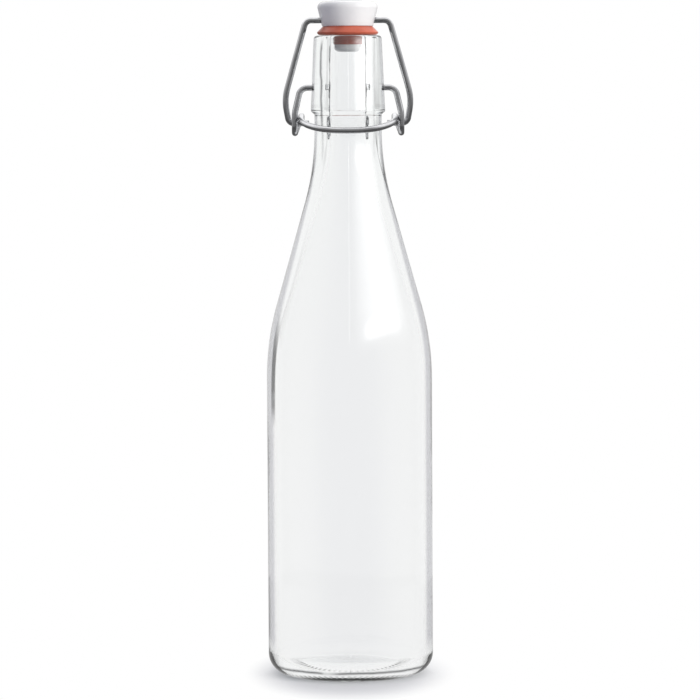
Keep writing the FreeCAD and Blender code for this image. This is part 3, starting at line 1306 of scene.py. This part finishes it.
@dataclass
class GlassBottle:
    """The blown glass, drawn outside first and then inside."""

    places: Places
    heel_radius: float = 8.6
    bearing_width: float = 3.8
    push_up: float = 3.2
    shoulder_angle: float = math.radians(15.8)
    shoulder_radius: float = 114.0
    sweep_radius: float = 113.0
    neck_radius: float = 14.2
    neck_length: float = 6.4
    collar_height: float = 31.9
    collar_low_radius: float = 15.7
    collar_top_radius: float = 14.3
    collar_ledge: float = 1.3
    collar_soft_edge: float = 0.25
    rim_round: float = 1.4
    lip_round: float = 1.6
    mouth_radius: float = 7.0
    bore_radius: float = 7.55
    bore_length: float = 4.3
    wall: float = 3.2
    floor_thickness: float = 3.9
    inner_heel: float = 6.5
    inner_angle: float = math.radians(17.5)
    dimple_radius: float = 1.38
    dimple_depth: float = 3.7
    ripple: float = 0.14
    ripple_length: float = 26.0
    knurl_depth: float = 0.35
    knurl_reach: float = 0.4
    knurl_columns: int = 4
    segments: int = 256
    box: NodeBox = field(default_factory=lambda: NodeBox.of("glass_bottle"))

    @property
    def height(self) -> float:
        """Give the height of the rim."""
        return self.box.high.z

    @property
    def body_radius(self) -> float:
        """Give the outer radius of the straight body."""
        return (self.box.high.x - self.box.low.x) / 2

    @property
    def collar_low(self) -> float:
        """Give the height of the collar's lower edge."""
        return self.height - self.collar_height

    @property
    def collar_taper(self) -> float:
        """Give how much the collar's radius grows for each millimetre down."""
        return (self.collar_low_radius - self.collar_top_radius) / self.collar_height

    @property
    def collar_at_pivot(self) -> float:
        """Give the collar's radius at the lever's pivot."""
        return self.collar_top_radius + self.collar_taper * (self.height - self.places.pivot)

    @property
    def push_edge(self) -> float:
        """Give the radius where the bearing ring ends and the push-up begins."""
        return self.body_radius - self.heel_radius - self.bearing_width

    @property
    def push_radius(self) -> float:
        """Give the radius of the push-up's dome."""
        return (self.push_edge**2 + self.push_up**2) / (2 * self.push_up)

    def build(self, finish: bpy.types.Material) -> bpy.types.Object:
        """Make the bottle.

        Args:
            finish: Its material.

        Returns:
            The piece.
        """
        shape = TurnedShape(0.0, self.push_up)
        self._draw_outside(shape)
        self._draw_inside(shape)
        mesh = shape.turn(self.segments)
        self._ripple_inside(mesh, shape)
        self._knurl_base(mesh)
        for side in (1, -1):
            self._sink_dimple(mesh, side)
        self._soften_collar(mesh)
        return finish_piece("glass_bottle", mesh, finish, Body.BOTTLE)

    def _draw_outside(self, shape: TurnedShape) -> None:
        """Draw from the middle of the base up to the rim.

        Args:
            shape: The section being drawn.
        """
        body = self.body_radius
        rounding = 1 - math.cos(self.shoulder_angle)
        ledge_low = self.collar_low - self.collar_ledge
        sweep_top = ledge_low - self.neck_length
        cone_top_x = self.neck_radius + self.sweep_radius * rounding
        cone_top = sweep_top - self.sweep_radius * math.sin(self.shoulder_angle)
        cone_low_x = body - self.shoulder_radius * rounding
        cone_low = cone_top - (cone_low_x - cone_top_x) / math.tan(self.shoulder_angle)
        body_top = cone_low - self.shoulder_radius * math.sin(self.shoulder_angle)
        bearing = body - self.heel_radius
        rim_edge = self.collar_top_radius + self.collar_taper * self.rim_round

        shape.arc(self.push_edge, 0.0, self.push_radius, Side.RIGHT, steps=12)
        shape.line(bearing, 0.0, steps=3)
        shape.arc(body, self.heel_radius, self.heel_radius, Side.LEFT, steps=16)
        shape.line(body, body_top, steps=6)
        shape.arc(cone_low_x, cone_low, self.shoulder_radius, Side.LEFT, steps=16)
        shape.line(cone_top_x, cone_top, steps=2)
        shape.arc(self.neck_radius, sweep_top, self.sweep_radius, Side.RIGHT, steps=16)
        shape.line(self.neck_radius, ledge_low, steps=3)
        shape.line(self.collar_low_radius, self.collar_low)
        shape.line(rim_edge, self.height - self.rim_round, steps=64)
        shape.arc(rim_edge - self.rim_round, self.height, self.rim_round, Side.LEFT, steps=8)

    def _draw_inside(self, shape: TurnedShape) -> None:
        """Draw from the rim down the inside to the middle of the floor.

        Args:
            shape: The section being drawn.
        """
        inside = self.body_radius - self.wall
        rounding = 1 - math.cos(self.inner_angle)
        shoulder_radius = self.shoulder_radius - self.wall
        bore_low = self.collar_low - self.bore_length
        cone_top_x = self.bore_radius + self.sweep_radius * rounding
        cone_top = bore_low - self.sweep_radius * math.sin(self.inner_angle)
        cone_low_x = inside - shoulder_radius * rounding
        cone_low = cone_top - (cone_low_x - cone_top_x) / math.tan(self.inner_angle)
        body_top = cone_low - shoulder_radius * math.sin(self.inner_angle)
        floor = self.push_up + self.floor_thickness
        floor_edge = inside - self.inner_heel
        floor_radius = self.push_radius + self.floor_thickness
        floor_rim = floor - floor_radius + math.sqrt(floor_radius**2 - floor_edge**2)

        shape.line(self.mouth_radius + self.lip_round, self.height)
        shape.arc(self.mouth_radius, self.height - self.lip_round, self.lip_round, Side.LEFT, steps=8)
        shape.drawing_inside = True
        shape.line(self.bore_radius, self.collar_low, steps=16)
        shape.line(self.bore_radius, bore_low, steps=3)
        shape.arc(cone_top_x, cone_top, self.sweep_radius, Side.LEFT, steps=20)
        shape.line(cone_low_x, cone_low, steps=10)
        shape.arc(inside, body_top, shoulder_radius, Side.RIGHT, steps=20)
        shape.line(inside, floor_rim + self.inner_heel, steps=30)
        shape.drawing_inside = False
        shape.arc(floor_edge, floor_rim, self.inner_heel, Side.RIGHT, steps=14)
        shape.arc(0.0, floor, floor_radius, Side.LEFT, steps=12)

    def _ripple_inside(self, mesh: BMesh, shape: TurnedShape) -> None:
        """Let the blown inner wall wander a little.

        Args:
            mesh: The turned mesh.
            shape: The section that it was turned from.
        """
        for vert in mesh.verts:
            if vert[shape.inner] > 0.5:
                outward = Vector((vert.co.x, vert.co.y, 0.0)).normalized()
                vert.co += outward * (self.ripple * noise.noise(vert.co / self.ripple_length))

    def _knurl_base(self, mesh: BMesh) -> None:
        """Press short radial marks into the ring that the bottle stands on.

        Args:
            mesh: The turned mesh.
        """
        outer = self.body_radius - self.heel_radius
        middle = outer - self.bearing_width / 2
        pitch = math.tau / self.segments
        for vert in mesh.verts:
            on_ring = abs(vert.co.xy.length - middle) < self.knurl_reach * self.bearing_width
            if on_ring and abs(vert.co.z) < CLOSE_VERTICES:
                column = round(math.atan2(vert.co.y, vert.co.x) / pitch)
                if column % self.knurl_columns < self.knurl_columns / 2:
                    vert.co.z += self.knurl_depth

    def _sink_dimple(self, mesh: BMesh, side: int) -> None:
        """Sink the blind hole that a lever end turns in.

        Args:
            mesh: The turned mesh.
            side: 1 for the right and -1 for the left.
        """
        rim = open_side_hole(mesh, side, self.places.pivot, self.dimple_radius)
        grown = bmesh.ops.extrude_edge_only(mesh, edges=rim)["geom"]
        floor = self.collar_at_pivot - self.dimple_depth
        for vert in grown:
            if isinstance(vert, BMVert):
                vert.co.x = side * floor
        end = [item for item in grown if isinstance(item, BMEdge)]
        bmesh.ops.holes_fill(mesh, edges=end, sides=0)
        bmesh.ops.recalc_face_normals(mesh, faces=mesh.faces[:])

    def _soften_collar(self, mesh: BMesh) -> None:
        """Round the two corners of the ledge under the collar.

        Args:
            mesh: The turned mesh.
        """
        corners = (
            (self.neck_radius, self.collar_low - self.collar_ledge),
            (self.collar_low_radius, self.collar_low),
        )
        soften_corners(mesh, corners, self.collar_soft_edge)


@dataclass
class Stopper:
    """The white stopper: head, stem and tip, with a cross hole for the bail."""

    places: Places
    head_radius: float = 12.7
    head_low_radius: float = 10.95
    head_height: float = 11.0
    head_low_round: float = 0.5
    head_top_round: float = 2.6
    crown: float = 0.55
    cross_rise: float = 2.55
    cross_hole_radius: float = 1.33
    stem_radius: float = 4.3
    stem_length: float = 7.85
    tip_radius: float = 5.7
    tip_round: float = 2.15
    segments: int = 160
    box: NodeBox = field(default_factory=lambda: NodeBox.of("stopper"))

    def build(self, finish: bpy.types.Material) -> bpy.types.Object:
        """Make the stopper.

        Args:
            finish: Its material.

        Returns:
            The piece.
        """
        tip_low = self.box.low.z
        head_low = self.places.cross - self.cross_rise
        head_top = head_low + self.head_height
        shoulder = head_top - self.crown
        crown_edge = self.head_radius - self.head_top_round
        crown_radius = (crown_edge**2 + self.crown**2) / (2 * self.crown)
        sleeve_low = head_low - self.stem_length

        shape = TurnedShape(0.0, tip_low)
        shape.line(self.tip_radius - self.tip_round, tip_low, steps=2)
        shape.arc(self.tip_radius, tip_low + self.tip_round, self.tip_round, Side.LEFT, steps=8)
        shape.line(self.tip_radius, sleeve_low)
        shape.line(self.stem_radius, sleeve_low)
        shape.line(self.stem_radius, head_low)
        shape.line(self.head_low_radius - self.head_low_round, head_low)
        low_round_top = head_low + self.head_low_round
        shape.arc(self.head_low_radius, low_round_top, self.head_low_round, Side.LEFT, steps=5)
        shape.line(self.head_radius, shoulder - self.head_top_round, steps=24)
        shape.arc(crown_edge, shoulder, self.head_top_round, Side.LEFT, steps=10)
        shape.arc(0.0, head_top, crown_radius, Side.LEFT, steps=8)
        mesh = shape.turn(self.segments)
        self._bore_cross_hole(mesh)
        return finish_piece("stopper", mesh, finish, Body.CLOSURE)

    def _bore_cross_hole(self, mesh: BMesh) -> None:
        """Bore the hole that the bail passes through.

        Args:
            mesh: The turned mesh.
        """
        rims = []
        for side in (1, -1):
            known = set(rims)
            rim = open_side_hole(mesh, side, self.places.cross, self.cross_hole_radius)
            rims += [edge for edge in rim if edge not in known]
        bmesh.ops.bridge_loops(mesh, edges=rims)
        bmesh.ops.recalc_face_normals(mesh, faces=mesh.faces[:])


@dataclass
class Gasket:
    """The rubber gasket: a bevelled flange over the rim and a ribbed sleeve in the mouth."""

    flange_radius: float = 13.05
    flange_top_radius: float = 10.45
    seat_radius: float = 12.15
    edge_height: float = 1.0
    height: float = 3.65
    edge_round: float = 0.3
    bore_radius: float = 4.33
    sleeve_radius: float = 6.725
    sleeve_length: float = 4.2
    sleeve_taper: float = math.radians(8.0)
    ribs: int = 3
    rib_share: float = 0.72
    rib_depth: float = 0.22
    segments: int = 160
    box: NodeBox = field(default_factory=lambda: NodeBox.of("gasket"))

    def build(self, finish: bpy.types.Material) -> bpy.types.Object:
        """Make the gasket.

        Args:
            finish: Its material.

        Returns:
            The piece.
        """
        sleeve_low = self.box.low.z
        seat = sleeve_low + self.sleeve_length
        top = seat + self.height
        edge = seat + self.edge_height

        shape = TurnedShape(self.bore_radius, sleeve_low)
        shape.line(self._sleeve_at(sleeve_low - seat), sleeve_low)
        self._draw_ribs(shape, sleeve_low, seat)
        shape.line(self.seat_radius, seat)
        shape.line(self.flange_radius, edge)
        shape.line(self.flange_top_radius, top)
        shape.line(self.bore_radius, top)
        shape.line(self.bore_radius, sleeve_low)
        mesh = shape.turn(self.segments)
        corners = (
            (self._sleeve_at(sleeve_low - seat), sleeve_low),
            (self.seat_radius, seat),
            (self.flange_radius, edge),
            (self.flange_top_radius, top),
        )
        soften_corners(mesh, corners, self.edge_round)
        piece = finish_piece("gasket", mesh, finish, Body.CLOSURE)
        # Hidden from reflections, so that it leaves no coloured patches in the wires beside it.
        piece.visible_glossy = False
        return piece

    def _sleeve_at(self, above_seat: float) -> float:
        """Give the sleeve's radius at a height above the seat."""
        return self.sleeve_radius + above_seat * math.tan(self.sleeve_taper)

    def _draw_ribs(self, shape: TurnedShape, low: float, high: float) -> None:
        """Draw the sleeve's side, with a shallow groove between ribs.

        Args:
            shape: The section being drawn.
            low: The sleeve's lower end.
            high: Its upper end.
        """
        pitch = (high - low) / self.ribs
        for rib in range(self.ribs):
            crest = low + pitch * (rib + self.rib_share)
            groove = low + pitch * (rib + 1)
            shape.line(self._sleeve_at(crest - high), crest, steps=2)
            shape.line(self._sleeve_at(groove - high) - self.rib_depth, groove)


@dataclass
class LeverWire:
    """The lower wire: pivot ends, slanting legs, an eye on each side and the pull ring."""

    places: Places
    collar_radius: float
    diameter: float = 2.6
    bail_diameter: float = 2.5
    pin_length: float = 3.4
    elbow_offset: float = 4.7
    elbow_radius: float = 3.7
    leg_offset: float = 7.2
    leg_slope_height: float = 10.7
    leg_bend: float = 10.8
    eye_drop: float = 19.1
    eye_length: float = 6.0
    eye_flat: float = 0.2
    eye_top_bend: float = 2.6
    hook_play: float = 0.25
    strand_gap: float = 0.2
    ring_offset: float = 6.85
    ring_flat: float = 1.3
    ring_tilt: float = math.radians(14.4)
    chamfer: float = 0.25

    def build(self, finish: bpy.types.Material) -> bpy.types.Object:
        """Make the lever.

        Args:
            finish: Its material.

        Returns:
            The piece.
        """
        pivot = self.places.pivot
        behind = self.places.hook_behind
        beside_hook = (self.diameter + self.bail_diameter) / 2 + self.hook_play
        leg = self.collar_radius + self.leg_offset
        front = behind - beside_hook
        back = front + self.eye_length
        eye_low = pivot - self.eye_drop
        eye_bend = (self.eye_length - self.eye_flat) / 2
        ring_half = leg - self.diameter - self.strand_gap
        ring_front = -self.collar_radius - self.ring_offset
        slope = math.tan(self.ring_tilt)
        over_hook = self.places.hook + beside_hook / math.cos(self.ring_tilt)
        half = [
            (Vector((self.collar_radius - self.pin_length, 0.0, pivot)), 0.0),
            (Vector((self.collar_radius + self.elbow_offset, 0.0, pivot)), self.elbow_radius),
            (Vector((leg, front, pivot - self.leg_slope_height)), self.leg_bend),
            (Vector((leg, front, eye_low)), eye_bend),
            (Vector((leg, back, eye_low)), eye_bend),
            (Vector((ring_half, back, over_hook + slope * (back - behind))), self.eye_top_bend),
            (
                Vector((ring_half, ring_front, over_hook + slope * (ring_front - behind))),
                ring_half - self.ring_flat / 2,
            ),
        ]
        wire = BentWire(self.diameter)
        wire.follow(mirrored(half))
        return finish_piece("lever_wire", wire.close(self.chamfer), finish, Body.LEVER)


@dataclass
class BailWire:
    """The upper wire: hooks in the lever's eyes, bowed legs and the run through the stopper."""

    places: Places
    lever: LeverWire
    hook_end_radius: float = 16.5
    head_radius: float = 12.7
    diameter: float = 2.5
    swing_gap: float = 0.45
    hook_radius: float = 2.6
    bulge: float = 1.9
    bulge_rise: float = 10.1
    bulge_radius: float = 21.5
    cross_offset: float = 4.9
    cross_radius: float = 3.0
    chamfer: float = 0.25

    def build(self, finish: bpy.types.Material) -> bpy.types.Object:
        """Make the bail.

        Args:
            finish: Its material.

        Returns:
            The piece.
        """
        hook = self.places.hook
        cross = self.places.cross
        behind = self.places.hook_behind
        waist = hook + self.bulge_rise
        waist_behind = behind * (cross - waist) / (cross - hook)
        lever_leg = self.lever.collar_radius + self.lever.leg_offset
        beside_lever = lever_leg + (self.lever.diameter + self.diameter) / 2 + self.swing_gap
        hook_corner = beside_lever - self.hook_radius * self.bulge / self.bulge_rise
        half = [
            (Vector((self.hook_end_radius, behind, hook)), 0.0),
            (Vector((hook_corner, behind, hook)), self.hook_radius),
            (Vector((hook_corner + self.bulge, waist_behind, waist)), self.bulge_radius),
            (Vector((self.head_radius + self.cross_offset, 0.0, cross)), self.cross_radius),
        ]
        wire = BentWire(self.diameter)
        wire.follow(mirrored(half))
        return finish_piece("bail_wire", wire.close(self.chamfer), finish, Body.BAIL)


@dataclass(frozen=True)
class SoftLight:
    """A large soft lamp, in metres and watts."""

    name: str
    place: tuple[float, float, float]
    aim: tuple[float, float, float]
    width: float
    height: float
    power: float
    tint: tuple[float, float, float] = (1.0, 1.0, 1.0)

    def make(self) -> bpy.types.Object:
        """Hang the lamp.

        Returns:
            The lamp.
        """
        data = bpy.data.lights.new(self.name, "AREA")
        data.shape = "RECTANGLE"
        data.size = self.width
        data.size_y = self.height
        data.energy = self.power
        data.color = self.tint
        lamp = bpy.data.objects.new(self.name, data)
        bpy.context.scene.collection.objects.link(lamp)
        heading = Vector(self.aim) - Vector(self.place)
        lamp.location = self.place
        lamp.rotation_euler = heading.to_track_quat("-Z", "Y").to_euler()
        lamp.visible_camera = False
        lamp.visible_glossy = False
        lamp.visible_transmission = False
        return lamp


@dataclass
class Studio:
    """The white room: floor, cards, background, lamps and camera, in metres."""

    floor_radius: float = 0.32
    camera_place: tuple[float, float, float] = (0.0044, -1.563, 0.248)
    camera_aim: tuple[float, float, float] = (0.0003, 0.0, 0.1376)
    camera_roll: float = math.radians(-0.3)
    lens: float = 190.0
    lamps: tuple[SoftLight, ...] = (
        SoftLight(
            "key_light",
            place=(1.24, -0.95, 0.55),
            aim=(0.0, 0.0, 0.15),
            width=0.9,
            height=0.9,
            power=22.0,
            tint=(1.0, 0.99, 0.95),
        ),
        SoftLight(
            "top_light",
            place=(0.05, 0.7, 1.4),
            aim=(0.0, 0.0, 0.1),
            width=1.0,
            height=1.0,
            power=8.0,
        ),
    )
    cards: tuple[StudioCard, ...] = (
        StudioCard(
            "body_card",
            Sight.THROUGH,
            bearing=-39.5,
            low=0.068,
            high=0.25,
            strength=0.1,
            low_edge=0.012,
            high_edge=0.1,
        ),
        StudioCard(
            "collar_card",
            Sight.THROUGH,
            bearing=-53.0,
            low=0.17,
            high=0.33,
            strength=0.78,
            low_edge=0.05,
        ),
        StudioCard(
            "softbox",
            Sight.MIRRORED,
            bearing=125.0,
            low=0.2,
            high=1.0,
            strength=3.8,
            low_edge=0.16,
            half_width=0.6,
            side_edge=0.55,
        ),
        StudioCard(
            "collar_softbox",
            Sight.MIRRORED,
            bearing=128.0,
            low=0.25,
            high=0.37,
            strength=10.0,
            low_edge=0.06,
            high_edge=0.05,
            half_width=0.35,
            side_edge=0.244,
        ),
    )

    def build(self) -> None:
        """Set up the whole room."""
        self._lay_floor()
        for card in self.cards:
            card.build()
        bpy.context.scene.world = Surroundings().make()
        for lamp in self.lamps:
            lamp.make()
        self._place_camera()
        bpy.context.scene.view_settings.view_transform = "Standard"

    def _lay_floor(self) -> None:
        """Lay the round floor under the bottle."""
        mesh = bmesh.new()
        bmesh.ops.create_circle(mesh, cap_ends=True, radius=self.floor_radius, segments=96)
        floor = add_object("floor", "floor", mesh, PaleFloor().make())

    def _place_camera(self) -> None:
        """Set the camera at the photograph's viewing angle."""
        data = bpy.data.cameras.new("camera")
        data.lens = self.lens
        camera = bpy.data.objects.new("camera", data)
        bpy.context.scene.collection.objects.link(camera)
        heading = Vector(self.camera_aim) - Vector(self.camera_place)
        level = heading.to_track_quat("-Z", "Y").to_matrix()
        tilt = Matrix.Rotation(self.camera_roll, 3, "Z")
        camera.location = self.camera_place
        camera.rotation_euler = (level @ tilt).to_euler()
        bpy.context.scene.camera = camera


def main() -> None:
    """Build the pieces, dress them, report them and set up the room."""
    logging.basicConfig(level=logging.INFO, format="%(name)s: %(message)s")
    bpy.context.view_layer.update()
    places = Places.from_frame()
    steel = DrawnSteel().make()
    bottle = GlassBottle(places)
    lever = LeverWire(places, bottle.collar_at_pivot)
    pieces = (
        bottle.build(ClearGlass().make()),
        Stopper(places).build(WhiteGlaze().make()),
        Gasket().build(OrangeRubber().make()),
        lever.build(steel),
        BailWire(places, lever).build(steel),
    )
    for piece in pieces:
        log.info("%s: %d faces", piece.name, len(piece.data.polygons))
    Studio().build()


if __name__ == "__main__":
    main()
